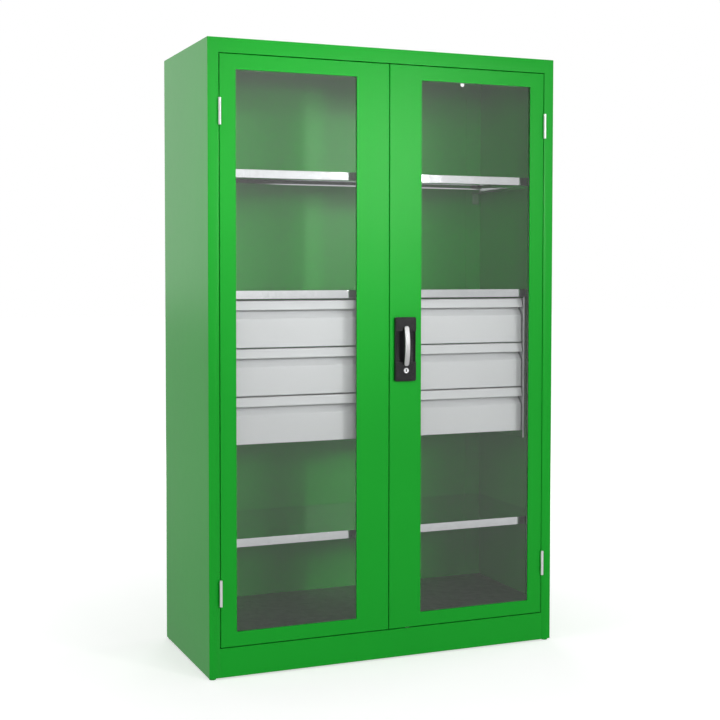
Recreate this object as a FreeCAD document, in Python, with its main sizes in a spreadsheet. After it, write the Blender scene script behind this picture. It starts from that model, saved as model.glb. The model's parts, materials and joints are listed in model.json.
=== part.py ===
import FreeCAD, Part
import os
import re
import Sketcher
from FreeCAD import Placement, Rotation, Vector

# Heavy-duty steel cabinet: folded case, two window doors with a rod lock, shelves and six drawers.
# All sizes are in millimetres. Places across are measured from the middle of the cabinet, heights
# from the floor, and depths from the front plane of the closed doors into the cabinet.
SIZES = {
    # case
    "width": 1200,
    "depth": 500,
    "height": 1950,
    "body_sheet": 1.5,
    "back_sheet": 1,
    "stile_width": 34.5,
    "stop_lip": 11,
    "rear_flange": 58,
    "header_height": 45,
    "header_stop": 18,
    "plinth_height": 90,
    "plinth_shelf": 36,
    "plinth_foot": 20,
    "roof_lip": 15,
    "floor_top": 119,
    "floor_front": 33,
    "back_rise": 10,
    "wall_hole_radius": 8,
    "wall_hole_inset": 20,
    "wall_hole_drop": 20,
    # levelling feet
    "foot_height": 5,
    "foot_radius": 11,
    "foot_inset": 14,
    "stud_radius": 5,
    "stud_length": 20,
    "foot_nut_radius": 9.5,
    "foot_nut_height": 8,
    "thread_play": 0.05,
    "stud_play": 0.3,
    # shelves and what carries them
    "shelf_sheet": 1.2,
    "shelf_lip": 26,
    "shelf_return": 10,
    "shelf_back_lip": 13,
    "shelf_front": 34,
    "shelf_back_gap": 5.5,
    "shelf_side_gap": 6,
    "upper_shelf_top": 1560,
    "middle_shelf_top": 1188,
    "lower_shelf_top": 421,
    "rail_sheet": 1.5,
    "front_rail_width": 44,
    "rear_rail_width": 54,
    "rear_rail_inset": 6,
    "rail_stop": 20,
    "slot_width": 14,
    "slot_height": 5,
    "slot_pitch": 25,
    "slot_inset": 22,
    "slot_play": 0.5,
    "clip_width": 24,
    "clip_sheet": 2.5,
    "clip_height": 40,
    "clip_tongue": 22,
    "clip_hook": 1.2,
    # doors
    "door_gap": 3,
    "door_depth": 18,
    "door_rest": 1,
    "door_sheet": 1.2,
    "door_lip": 15,
    "hinge_rail": 51,
    "lock_rail": 111.3,
    "top_rail": 45.7,
    "bottom_rail": 45,
    "window_return": 3,
    "pane": 4,
    "pane_overlap": 12,
    "retainer_sheet": 1.5,
    "retainer_overlap": 23,
    "window_stud_inset": 17,
    "window_stud_radius": 2,
    "window_nut_radius": 4,
    "window_nut_height": 2.4,
    "catch_radius": 4.5,
    "catch_length": 20,
    "catch_nose": 3.5,
    "catch_reach": 2,
    "catch_inset": 60,
    "fit_play": 0.1,
    # hinges
    "hinge_length": 81.5,
    "hinge_drop": 173.2,
    "hinge_rise": 168.6,
    "hinge_proud": 6,
    "knuckle_radius": 5,
    "pin_radius": 3,
    "pin_play": 0.05,
    "leaf_sheet": 1.2,
    "leaf_depth": 16,
    "knuckle_gap": 0.3,
    # handle and lock
    "handle_place": 53,
    "handle_reach": 27.5,
    "plate_width": 73,
    "plate_height": 205,
    "plate_drop": 168.5,
    "plate_proud": 12,
    "plate_round": 6,
    "recess_drop": 106.5,
    "recess_height": 98,
    "recess_wall": 3.5,
    "wall_step": 3.5,
    "recess_floor": 2,
    "bow_length": 128,
    "bow_width": 17,
    "bow_thickness": 5.5,
    "bow_rise": 9,
    "bow_edge": 1.8,
    "bow_end_flat": 2,
    "bow_gap": 0.6,
    "boss_radius": 6,
    "spindle_height": 1064.5,
    "spindle_radius": 5.5,
    "disc_front": 5.5,
    "disc_thickness": 3,
    "disc_radius": 18,
    "drive_radius": 13.3,
    "drive_pin_radius": 2.5,
    "drive_pin_length": 5.5,
    "drive_play": 0.7,
    "case_width": 72,
    "case_height": 64,
    "case_back": 16,
    "case_sheet": 1.5,
    "rod_offset": 17,
    "rod_width": 12,
    "rod_thickness": 4,
    "rod_front": 9.5,
    "rod_tip": 1,
    "rod_slot_play": 1,
    "yoke_inner": 2,
    "yoke_height": 14,
    "guide_play": 0.3,
    "guide_margin": 3,
    "guide_height": 20,
    "guide_back": 16,
    "guide_near_gap": 180,
    "guide_far_gap": 90,
    "lock_drop": 134,
    "lock_radius": 8.75,
    "lock_proud": 16,
    "lock_back": 10,
    "plug_radius": 5.5,
    "plug_proud": 0.5,
    "keyway_width": 3,
    "keyway_height": 9,
    "keyway_depth": 6,
    "cam_width": 7,
    "cam_length": 9,
    "cam_sheet": 2,
    # drawers and what carries them
    "bank_inset": 84,
    "bank_inner": 10,
    "bank_sheet": 1.5,
    "bank_front": 46,
    "bank_depth": 424,
    "bank_bottom": 686,
    "bank_edge": 6.2,
    "bank_flange": 24,
    "bank_centre_flange": 7,
    "drawer_setback": 52,
    "drawer_top": 1156,
    "drawer_pitch": 150,
    "drawer_end_gap": 3,
    "front_height": 146,
    "front_sheet": 1.2,
    "front_depth": 32,
    "front_tail": 46,
    "grip_height": 29,
    "grip_reach": 9,
    "grip_depth": 24,
    "grip_slope": 27,
    "tray_sheet": 1,
    "tray_depth": 375,
    "tray_height": 100,
    "tray_rise": 12,
    "runner_space": 12,
    "runner_sheet": 1.2,
    "runner_width": 10,
    "runner_height": 30,
    "runner_rise": 45,
    "runner_length": 384,
    "runner_start": 2,
    "slide_play": 0.4,
    "slide_width": 10,
}

DRAWER_LEVELS = ("top", "middle", "bottom")
SIDES = {"left": -1, "right": 1}

# Places that several pieces share, worked out from the sizes above.
FRONT = "(handle_reach - depth)/2"
WALL = "(width/2 - body_sheet)"
STILE = "(width/2 - stile_width)"
STOP_BACK = "(door_depth + door_rest + body_sheet)"
REAR = "(depth - body_sheet)"
BACK = "(depth - body_sheet - back_sheet)"
HEADER = "(height - header_height)"
PLINTH = "(foot_height + plinth_height)"
SHELF_BACK = f"({BACK} - shelf_back_gap)"
SHELF_HALF = f"({WALL} - shelf_side_gap)"
DOOR_IN = "(door_gap/2)"
DOOR_OUT = f"({STILE} - door_gap)"
DOOR_LOW = f"({PLINTH} + door_gap)"
DOOR_TOP = f"({HEADER} - door_gap)"
WINDOW_IN = f"({DOOR_IN} + lock_rail)"
WINDOW_OUT = f"({DOOR_OUT} - hinge_rail)"
WINDOW_LOW = f"({DOOR_LOW} + bottom_rail)"
WINDOW_TOP = f"({DOOR_TOP} - top_rail)"
PANE_BACK = "(window_return + pane)"
HINGE = f"({STILE} - door_gap/2)"
ROD_BACK = "(rod_front + rod_thickness)"
PLATE_LOW = "(spindle_height - plate_drop)"
RECESS_LOW = "(spindle_height - recess_drop)"
LOCK = "(spindle_height - lock_drop)"
BANK_OUTER = "(width/2 - bank_inset)"
BANK_MIDDLE = f"(({BANK_OUTER} + bank_inner)/2)"
BANK_HALF = f"(({BANK_OUTER} - bank_inner)/2)"
TRAY_HALF = f"({BANK_HALF} - runner_space)"
TRAY_FRONT = "(drawer_setback + front_depth)"
SHELF_TOPS = {"upper": "upper_shelf_top", "middle": "middle_shelf_top", "lower": "lower_shelf_top"}

doc = FreeCAD.newDocument("cabinet")
sheet = doc.addObject("Spreadsheet::Sheet", "sizes")
for row, (alias, number) in enumerate(SIZES.items(), 1):
    sheet.set(f"A{row}", alias)
    sheet.set(f"B{row}", str(number))
    sheet.setAlias(f"B{row}", alias)
doc.recompute()

subparts = []


def sized(text):
    """The expression with every size named as a cell of the sheet."""
    return re.sub(r"[a-z_]+", lambda word: f"sizes.{word[0]}" if word[0] in SIZES else word[0], text)


def bind(thing, prop, text):
    thing.setExpression(prop, sized(text))


def measure(text):
    return float(sheet.evalExpression(sized(text)))


def keep(label, thing):
    """Names a finished sub-part, which is written to a file of that name."""
    thing.Label = label
    subparts.append(thing)
    return thing


def across(side, low, high):
    """A span across the cabinet, turned round for the left side."""
    return (low, high) if side > 0 else (f"-({high})", f"-({low})")


def spot(side, place):
    return place if side > 0 else f"-({place})"


def put(thing, x, y, z):
    bind(thing, "Placement.Base.x", x)
    bind(thing, "Placement.Base.y", f"{FRONT} + {y}")
    bind(thing, "Placement.Base.z", z)


def box(name, x, y, z):
    """A block between pairs of places."""
    made = doc.addObject("Part::Box", name)
    for prop, (low, high) in (("Length", x), ("Width", y), ("Height", z)):
        bind(made, prop, f"({high}) - ({low})")
    put(made, x[0], y[0], z[0])
    return made


AXIS_TURN = {"x": Rotation(Vector(0, 1, 0), 90), "y": Rotation(Vector(1, 0, 0), -90), "z": Rotation()}


def stand(made, x, y, z):
    """Sets a round piece along the one direction that is given as a span."""
    places = {"x": x, "y": y, "z": z}
    axis = next(name for name, place in places.items() if isinstance(place, tuple))
    low, high = places[axis]
    places[axis] = low
    made.Placement = Placement(Vector(), AXIS_TURN[axis])
    bind(made, "Height", f"({high}) - ({low})")
    put(made, places["x"], places["y"], places["z"])
    return made


def drum(name, x, y, z, radius):
    made = doc.addObject("Part::Cylinder", name)
    bind(made, "Radius", radius)
    return stand(made, x, y, z)


def hexagon(name, x, y, z, radius):
    made = doc.addObject("Part::Prism", name)
    made.Polygon = 6
    bind(made, "Circumradius", radius)
    return stand(made, x, y, z)


def ball(name, x, y, z, radius):
    made = doc.addObject("Part::Sphere", name)
    bind(made, "Radius", radius)
    put(made, x, y, z)
    return made


def fuse(name, *pieces):
    made = doc.addObject("Part::MultiFuse", name)
    made.Shapes = list(pieces)
    return made


def cut(name, base, *tools):
    made = doc.addObject("Part::Cut", name)
    made.Base = base
    made.Tool = tools[0] if len(tools) == 1 else fuse(f"{name}_tools", *tools)
    return made


def group(name, pieces):
    made = doc.addObject("Part::Compound", name)
    made.Links = list(pieces)
    return made


def ring(name, x, y, z, wall):
    """A rectangular frame whose opening is the given span, with a wall all round it."""
    outer = box(
        f"{name}_outer", (f"{x[0]} - {wall}", f"{x[1]} + {wall}"), y, (f"{z[0]} - {wall}", f"{z[1]} + {wall}")
    )
    inner = box(f"{name}_inner", x, (f"{y[0]} - {wall}", f"{y[1]} + {wall}"), z)
    return cut(name, outer, inner)


def new_body(name, x="0", y="0", z="0"):
    body = doc.addObject("PartDesign::Body", name)
    put(body, x, y, z)
    return body


def draw(body, plane, points, offset, holes=()):
    """A closed outline of straight edges, with round holes, on one of the body's own planes."""
    sketch = body.newObject("Sketcher::SketchObject", f"{body.Name}_outline")
    support = next(item for item in body.Origin.OriginFeatures if item.Role == plane)
    sketch.AttachmentSupport = [(support, "")]
    sketch.MapMode = "FlatFace"
    bind(sketch, "AttachmentOffset.Base.z", offset)
    corners = [Vector(measure(u), measure(v), 0) for u, v in points]
    count = len(corners)
    for index in range(count):
        sketch.addGeometry(Part.LineSegment(corners[index], corners[(index + 1) % count]))
    for index in range(count):
        sketch.addConstraint(Sketcher.Constraint("Coincident", index, 2, (index + 1) % count, 1))
    for index, (u, v) in enumerate(points):
        fix_point(sketch, index, 1, u, v)
    for u, v, radius in holes:
        circle = Part.Circle(Vector(measure(u), measure(v), 0), Vector(0, 0, 1), measure(radius))
        index = sketch.addGeometry(circle)
        fix_point(sketch, index, 3, u, v)
        fix_radius(sketch, index, radius)
    return sketch


def fix_point(sketch, index, point, u, v):
    """Binds one point of a sketch to its two places."""
    for kind, place in (("DistanceX", u), ("DistanceY", v)):
        number = sketch.addConstraint(Sketcher.Constraint(kind, -1, 1, index, point, measure(place)))
        bind(sketch, f"Constraints[{number}]", place)


def fix_radius(sketch, index, radius):
    number = sketch.addConstraint(Sketcher.Constraint("Radius", index, measure(radius)))
    bind(sketch, f"Constraints[{number}]", radius)


def pad(body, sketch, length):
    made = body.newObject("PartDesign::Pad", f"{body.Name}_pad")
    made.Profile = sketch
    bind(made, "Length", length)
    return made


def extrude(body, plane, points, low, high, holes=()):
    """A solid of one outline between two places square to its plane."""
    start = f"-({high})" if plane == "XZ_Plane" else low
    return pad(body, draw(body, plane, points, start, holes), f"({high}) - ({low})")


def carve(body, plane, points, low, high):
    """Cuts an outline out of a body, and makes sure that it cut."""
    doc.recompute()
    before = body.Shape.Volume
    start = f"-({low})" if plane == "XZ_Plane" else high
    made = body.newObject("PartDesign::Pocket", f"{body.Name}_pocket")
    made.Profile = draw(body, plane, points, start)
    bind(made, "Length", f"({high}) - ({low})")
    doc.recompute()
    if body.Shape.Volume >= before:
        raise RuntimeError(f"nothing was cut from {body.Name}")
    return made


def round_edges(body, radius, wanted):
    """Rounds the edges of a body's last feature that the test picks."""
    doc.recompute()
    base = body.Tip
    names = [f"Edge{index}" for index, edge in enumerate(base.Shape.Edges, 1) if wanted(edge)]
    made = body.newObject("PartDesign::Fillet", f"{body.Name}_round")
    made.Base = (base, names)
    bind(made, "Radius", radius)
    return made


def rectangle(x, z):
    return [(x[0], z[0]), (x[1], z[0]), (x[1], z[1]), (x[0], z[1])]


def side_panel(name, side):
    """A side folded into a stile, jamb and stop lip at the front and a flange at the back."""
    corners = [
        ("width/2", "0"),
        ("width/2", "depth"),
        ("width/2 - rear_flange", "depth"),
        ("width/2 - rear_flange", REAR),
        (WALL, REAR),
        (WALL, "body_sheet"),
        (f"{STILE} + body_sheet", "body_sheet"),
        (f"{STILE} + body_sheet", STOP_BACK),
        (f"{STILE} - stop_lip", STOP_BACK),
        (f"{STILE} - stop_lip", f"{STOP_BACK} - body_sheet"),
        (STILE, f"{STOP_BACK} - body_sheet"),
        (STILE, "0"),
    ]
    body = new_body(f"{name}_side_panel")
    extrude(body, "XY_Plane", [(spot(side, u), v) for u, v in corners], "foot_height", "height")
    folds = rectangle(across(side, f"{STILE} - stop_lip", WALL), ("body_sheet", STOP_BACK))
    carve(body, "XY_Plane", folds, "height - body_sheet", "height")
    base = rectangle(across(side, f"{STILE} + body_sheet", WALL), ("body_sheet", REAR))
    holes = [(spot(side, "width/2 - foot_inset"), y, "stud_radius + stud_play") for y in foot_places()]
    extrude(body, "XY_Plane", base, "foot_height", "foot_height + body_sheet", holes)
    keep(f"{name}_side_panel", body)


def foot_places():
    return ("foot_inset", "depth - foot_inset")


def lip_notches(name, depth, rise):
    """Notches at both ends of a cross piece, where the stop lips of the sides pass it."""
    return [
        box(f"{name}_{end}_notch", across(side, f"{STILE} - stop_lip", f"{STILE} + stop_lip"), depth, rise)
        for end, side in SIDES.items()
    ]


def header():
    """The front cross piece over the doors, with a stop lip behind them and a hole for the upper rod."""
    profile = [
        ("0", "height"),
        ("0", HEADER),
        (f"{STOP_BACK} - body_sheet", HEADER),
        (f"{STOP_BACK} - body_sheet", f"{HEADER} - header_stop"),
        (STOP_BACK, f"{HEADER} - header_stop"),
        (STOP_BACK, f"{HEADER} + body_sheet"),
        ("body_sheet", f"{HEADER} + body_sheet"),
        ("body_sheet", "height"),
    ]
    body = new_body("header_fold")
    extrude(body, "YZ_Plane", profile, f"-{STILE}", STILE)
    hole = rod_hole("header_rod_hole", -1, (f"{HEADER} - body_sheet", f"{HEADER} + 2*body_sheet"))
    notch_depth = (f"{STOP_BACK} - body_sheet", f"{STOP_BACK} + body_sheet")
    notches = lip_notches("header", notch_depth, (f"{HEADER} - 2*header_stop", f"{HEADER} + header_stop"))
    keep("front_header", cut("front_header", body, hole, *notches))


def plinth():
    """The front cross piece under the doors, with a hole for the lower rod."""
    profile = [
        ("0", "foot_height"),
        ("0", PLINTH),
        ("plinth_shelf", PLINTH),
        ("plinth_shelf", f"{PLINTH} - body_sheet"),
        ("body_sheet", f"{PLINTH} - body_sheet"),
        ("body_sheet", "foot_height + body_sheet"),
        ("plinth_foot", "foot_height + body_sheet"),
        ("plinth_foot", "foot_height"),
    ]
    body = new_body("plinth_fold")
    extrude(body, "YZ_Plane", profile, f"-{STILE}", STILE)
    hole = rod_hole("plinth_rod_hole", 1, (f"{PLINTH} - 2*body_sheet", f"{PLINTH} + body_sheet"))
    notch_depth = (f"{STOP_BACK} - body_sheet", "plinth_shelf + body_sheet")
    notches = lip_notches("plinth", notch_depth, ("0", f"{PLINTH} + foot_height"))
    keep("plinth_panel", cut("plinth_panel", body, hole, *notches))


def roof():
    """The roof sheet between the sides, with a lip down along each of them."""
    profile = [
        (f"-{WALL}", "height - roof_lip"),
        (f"-{WALL}", "height"),
        (WALL, "height"),
        (WALL, "height - roof_lip"),
        (f"{WALL} - body_sheet", "height - roof_lip"),
        (f"{WALL} - body_sheet", "height - body_sheet"),
        (f"body_sheet - {WALL}", "height - body_sheet"),
        (f"body_sheet - {WALL}", "height - roof_lip"),
    ]
    body = new_body("roof_panel")
    extrude(body, "XZ_Plane", profile, "body_sheet", BACK)
    keep("roof_panel", body)


def floor_panel():
    """The floor sheet, whose front lip stands on the plinth."""
    profile = [
        ("floor_front", PLINTH),
        ("floor_front", "floor_top"),
        (BACK, "floor_top"),
        (BACK, PLINTH),
        (f"{BACK} - body_sheet", PLINTH),
        (f"{BACK} - body_sheet", "floor_top - body_sheet"),
        ("floor_front + body_sheet", "floor_top - body_sheet"),
        ("floor_front + body_sheet", PLINTH),
    ]
    body = new_body("floor_panel")
    extrude(body, "YZ_Plane", profile, f"-{WALL}", WALL)
    keep("floor_panel", body)


def back_panel():
    """The back sheet with two holes for fixing it to a wall."""
    blank = box("back_blank", (f"-{WALL}", WALL), (BACK, REAR), ("foot_height + back_rise", "height"))
    depth = (f"{BACK} - back_sheet", f"{REAR} + back_sheet")
    place = "width/2 - rear_flange - wall_hole_inset"
    holes = [
        drum(f"{name}_wall_hole", spot(side, place), depth, "height - wall_hole_drop", "wall_hole_radius")
        for name, side in SIDES.items()
    ]
    keep("back_panel", cut("back_panel", blank, *holes))


def feet():
    """Levelling feet: a disc and a stud through the side's bottom flange, held by a nut on top."""
    pads = []
    nuts = []
    for side in SIDES.values():
        x = spot(side, "width/2 - foot_inset")
        for y in foot_places():
            disc = drum("foot_disc", x, y, ("0", "foot_height"), "foot_radius")
            stud = drum("foot_stud", x, y, ("0", "foot_height + stud_length"), "stud_radius")
            pads.append(fuse("foot", disc, stud))
            seat = "foot_height + body_sheet"
            blank = hexagon("foot_nut_blank", x, y, (seat, f"{seat} + foot_nut_height"), "foot_nut_radius")
            thread_rise = ("0", f"{seat} + 2*foot_nut_height")
            thread = drum("foot_nut_thread", x, y, thread_rise, "stud_radius + thread_play")
            nuts.append(cut("foot_nut", blank, thread))
    keep("levelling_feet", group("levelling_feet", pads))
    keep("foot_nuts", group("foot_nuts", nuts))


# Every shelf rail is a flat strip with a row of slots; the spans run outwards and inwards.
RAILS = {
    "front": (f"({WALL} - front_rail_width)", WALL, STOP_BACK, f"({STOP_BACK} + rail_sheet)"),
    "rear": (f"({WALL} - rear_rail_inset - rear_rail_width)", f"({WALL} - rear_rail_inset)",
             f"({BACK} - rail_sheet)", BACK),
}
RAIL_TOP = f"({HEADER} - rail_stop)"
SLOT_MIDDLE = f"({WALL} - slot_inset)"


def shelf_rails():
    strips = []
    for end, (low, high, near, far) in RAILS.items():
        body = new_body(f"{end}_rail")
        extrude(body, "XZ_Plane", rectangle((low, high), ("floor_top", RAIL_TOP)), near, far)
        slot_span = (f"{SLOT_MIDDLE} - slot_width/2", f"{SLOT_MIDDLE} + slot_width/2")
        slot_rise = ("floor_top + slot_pitch - slot_height/2", "floor_top + slot_pitch + slot_height/2")
        slot = carve(body, "XZ_Plane", rectangle(slot_span, slot_rise), near, far)
        row = body.newObject("PartDesign::LinearPattern", f"{end}_rail_slots")
        row.Originals = [slot]
        row.Direction = (slot.Profile[0], ["V_Axis"])
        row.Mode = "Spacing"
        bind(row, "Offset", "slot_pitch")
        bind(row, "Occurrences", f"floor(({RAIL_TOP} - floor_top)/slot_pitch) - 1")
        body.Tip = row
        twin = doc.addObject("Part::Mirroring", f"{end}_rail_twin")
        twin.Source = body
        twin.Normal = Vector(1, 0, 0)
        strips += [body, twin]
    keep("shelf_rails", group("shelf_rails", strips))


def shelf(level):
    """A shelf tray with lips all round, the front one folded back under it and the rear one shorter."""
    top = SHELF_TOPS[level]
    low = f"({top} - shelf_lip)"
    x = (f"-{SHELF_HALF}", SHELF_HALF)
    inside = (f"shelf_sheet - {SHELF_HALF}", f"{SHELF_HALF} - shelf_sheet")
    blank = box(f"{level}_shelf_blank", x, ("shelf_front", SHELF_BACK), (low, top))
    hollow_depth = ("shelf_front + shelf_sheet", f"{SHELF_BACK} - shelf_sheet")
    hollow_rise = (f"{low} + shelf_sheet", f"{top} - shelf_sheet")
    hollow = box(f"{level}_shelf_hollow", inside, hollow_depth, hollow_rise)
    mouth_depth = ("shelf_front + shelf_return", f"{SHELF_BACK} - shelf_sheet")
    mouth_rise = (f"{low} - shelf_sheet", f"{low} + 2*shelf_sheet")
    mouth = box(f"{level}_shelf_mouth", inside, mouth_depth, mouth_rise)
    rear_x = (f"-{SHELF_HALF} - shelf_sheet", f"{SHELF_HALF} + shelf_sheet")
    rear_depth = (f"{SHELF_BACK} - shelf_sheet", f"{SHELF_BACK} + shelf_sheet")
    rear_rise = (f"{low} - shelf_sheet", f"{top} - shelf_back_lip")
    rear = box(f"{level}_shelf_rear_cut", rear_x, rear_depth, rear_rise)
    keep(f"{level}_shelf", cut(f"{level}_shelf", blank, hollow, mouth, rear))


def shelf_clip(side, end, top):
    """A clip that hooks into a rail slot, with a tongue under the shelf's lip."""
    low = f"({top} - shelf_lip)"
    x = across(side, f"{SLOT_MIDDLE} - clip_width/2", f"{SLOT_MIDDLE} + clip_width/2")
    slot_rise = f"(floor_top + slot_pitch*round(({low} - clip_height/2 - floor_top)/slot_pitch))"
    hook_half = "(slot_width/2 - slot_play)"
    hook_x = across(side, f"{SLOT_MIDDLE} - {hook_half}", f"{SLOT_MIDDLE} + {hook_half}")
    hook_z = (f"{slot_rise} - slot_height/2 + slot_play", f"{slot_rise} + slot_height/2 - slot_play")
    near, far = RAILS[end][2:]
    if end == "front":
        plate_y = (far, f"{far} + clip_sheet")
        tongue_y = (far, f"{far} + clip_tongue")
        hook_y = (f"{far} - clip_hook", f"{far} + clip_sheet")
    else:
        plate_y = (f"{near} - clip_sheet", near)
        tongue_y = (f"{near} - clip_tongue", near)
        hook_y = (f"{near} - clip_sheet", f"{near} + clip_hook")
    plate = box("clip_plate", x, plate_y, (f"{low} - clip_height", low))
    tongue = box("clip_tongue", x, tongue_y, (f"{low} - clip_sheet", low))
    hook = box("clip_hook", hook_x, hook_y, hook_z)
    return fuse("shelf_clip", plate, tongue, hook)


def shelf_clips():
    clips = [
        shelf_clip(side, end, top) for top in SHELF_TOPS.values() for side in SIDES.values() for end in RAILS
    ]
    keep("shelf_clips", group("shelf_clips", clips))


def hinge_heights():
    return (f"({DOOR_TOP} - hinge_drop)", f"({DOOR_LOW} + hinge_rise)")


def hinge_half(name, side, rise, leaf_span):
    """A knuckle round the pin with a leaf that lies in the gap beside the door."""
    x = spot(side, HINGE)
    barrel = drum(f"{name}_barrel", x, "-hinge_proud", rise, "knuckle_radius")
    leaf_y = ("pin_radius + knuckle_gap*2 - hinge_proud", "leaf_depth")
    leaf = box(f"{name}_leaf", across(side, *leaf_span), leaf_y, rise)
    bore_rise = (f"{rise[0]} - pin_radius", f"{rise[1]} + pin_radius")
    bore = drum(f"{name}_bore", x, "-hinge_proud", bore_rise, "pin_radius + pin_play")
    return cut(name, fuse(f"{name}_solid", barrel, leaf), bore)


def hinges():
    """Lift-off hinges: the lower half with its pin stays on the jamb, the upper half hangs on the door."""
    frame_leaves = []
    pins = []
    for name, side in SIDES.items():
        door_leaves = []
        for middle in hinge_heights():
            low = f"({middle} - hinge_length/2)"
            high = f"({middle} + hinge_length/2)"
            frame_span = (f"{STILE} - leaf_sheet", STILE)
            frame_rise = (low, f"{middle} - knuckle_gap/2")
            frame_leaves.append(hinge_half("frame_hinge", side, frame_rise, frame_span))
            door_span = (DOOR_OUT, f"{DOOR_OUT} + leaf_sheet")
            door_rise = (f"{middle} + knuckle_gap/2", high)
            door_leaves.append(hinge_half(f"{name}_hinge", side, door_rise, door_span))
            pins.append(drum("hinge_pin", spot(side, HINGE), "-hinge_proud", (low, high), "pin_radius"))
        keep(f"{name}_hinge_leaves", group(f"{name}_hinge_leaves", door_leaves))
    keep("hinge_frame_leaves", group("hinge_frame_leaves", frame_leaves))
    keep("hinge_pins", group("hinge_pins", pins))


def window_span(side):
    return across(side, WINDOW_IN, WINDOW_OUT)


def door_panel(name, side):
    """A door pan with folded edges and a window whose edge is turned in to seat the pane."""
    x = (DOOR_IN, DOOR_OUT)
    z = (DOOR_LOW, DOOR_TOP)

    def inset(span, by):
        return (f"{span[0]} + {by}", f"{span[1]} - {by}")

    blank = box(f"{name}_door_blank", across(side, *x), ("0", "door_depth"), z)
    hollow_y = ("door_sheet", "door_depth - door_sheet")
    hollow_x = across(side, *inset(x, "door_sheet"))
    hollow = box(f"{name}_door_hollow", hollow_x, hollow_y, inset(z, "door_sheet"))
    mouth_y = ("door_depth - 2*door_sheet", "door_depth + door_sheet")
    mouth = box(f"{name}_door_mouth", across(side, *inset(x, "door_lip")), mouth_y, inset(z, "door_lip"))
    window_y = ("-door_sheet", "2*door_sheet")
    window = box(f"{name}_door_window", window_span(side), window_y, (WINDOW_LOW, WINDOW_TOP))
    pan = cut(f"{name}_door_pan", blank, hollow, mouth, window)
    window_z = (WINDOW_LOW, WINDOW_TOP)
    edge = ring(f"{name}_window_edge", window_span(side), ("0", "window_return"), window_z, "door_sheet")
    holes = lock_holes() if name == "right" else catch_holes(side)
    keep(f"{name}_door_panel", cut(f"{name}_door_panel", fuse(f"{name}_door_fold", pan, edge), *holes))


def window_studs(side):
    """Places of the studs round a window: four up each side, two along the top and bottom."""
    places = []
    for share in (1, 3, 5, 7):
        z = f"{WINDOW_LOW} + ({WINDOW_TOP} - {WINDOW_LOW})*{share}/8"
        places += [(f"{WINDOW_IN} - window_stud_inset", z), (f"{WINDOW_OUT} + window_stud_inset", z)]
    for share in (1, 3):
        x = f"{WINDOW_IN} + ({WINDOW_OUT} - {WINDOW_IN})*{share}/4"
        places += [(x, f"{WINDOW_LOW} - window_stud_inset"), (x, f"{WINDOW_TOP} + window_stud_inset")]
    return [(spot(side, x), z) for x, z in places]


def window(name, side):
    """The pane, the frame that holds it against the window's edge, and the studs with their nuts."""
    x = window_span(side)
    z = (WINDOW_LOW, WINDOW_TOP)
    pane_x = (f"{x[0]} - pane_overlap", f"{x[1]} + pane_overlap")
    pane_z = (f"{z[0]} - pane_overlap", f"{z[1]} + pane_overlap")
    keep(f"{name}_window", box(f"{name}_window", pane_x, ("window_return", PANE_BACK), pane_z))
    retainer_back = f"({PANE_BACK} + retainer_sheet)"
    blank = ring(f"{name}_retainer_blank", x, (PANE_BACK, retainer_back), z, "retainer_overlap")
    holes = []
    fasteners = []
    for stud_x, stud_z in window_studs(side):
        hole_y = (f"{PANE_BACK} - retainer_sheet", f"{retainer_back} + retainer_sheet")
        holes.append(drum(f"{name}_retainer_hole", stud_x, hole_y, stud_z, "window_stud_radius + fit_play"))
        nut_y = (retainer_back, f"{retainer_back} + window_nut_height")
        stud_y = ("door_sheet", f"{retainer_back} + window_nut_height")
        stud = drum(f"{name}_window_stud", stud_x, stud_y, stud_z, "window_stud_radius")
        nut = hexagon(f"{name}_window_nut", stud_x, nut_y, stud_z, "window_nut_radius")
        fasteners.append(fuse(f"{name}_window_fastener", stud, nut))
    keep(f"{name}_window_retainer", cut(f"{name}_window_retainer", blank, *holes))
    keep(f"{name}_window_fasteners", group(f"{name}_window_fasteners", fasteners))


CATCH_DEPTH = "door_depth/2"
CATCH_PLACE = f"({DOOR_IN} + catch_inset)"


def catch_holes(side):
    x = spot(side, CATCH_PLACE)
    ends = ((f"{DOOR_LOW} - door_sheet", f"{DOOR_LOW} + 2*door_sheet"),
            (f"{DOOR_TOP} - 2*door_sheet", f"{DOOR_TOP} + door_sheet"))
    return [drum("catch_hole", x, CATCH_DEPTH, span, "catch_radius + fit_play") for span in ends]


def ball_catches(name, side):
    """Two sprung ball catches set in the door's lower and upper edges."""
    x = spot(side, CATCH_PLACE)
    ends = ((DOOR_LOW, f"{DOOR_LOW} + catch_length", f"{DOOR_LOW} - catch_reach + catch_nose"),
            (f"{DOOR_TOP} - catch_length", DOOR_TOP, f"{DOOR_TOP} + catch_reach - catch_nose"))
    catches = []
    for low, high, nose in ends:
        barrel = drum("catch_barrel", x, CATCH_DEPTH, (low, high), "catch_radius")
        catches.append(fuse("ball_catch", barrel, ball("catch_ball", x, CATCH_DEPTH, nose, "catch_nose")))
    keep(f"{name}_ball_catches", group(f"{name}_ball_catches", catches))


def rod_span(side, play="0"):
    """A rod's width: the upper rod runs on the left of the spindle, the lower one on the right."""
    middle = f"handle_place + {side}*rod_offset"
    return (f"{middle} - rod_width/2 - {play}", f"{middle} + rod_width/2 + {play}")


def rod_hole(name, side, rise, play="rod_slot_play"):
    depth = (f"rod_front - {play}", f"{ROD_BACK} + {play}")
    return box(name, rod_span(side, play), depth, rise)


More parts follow.
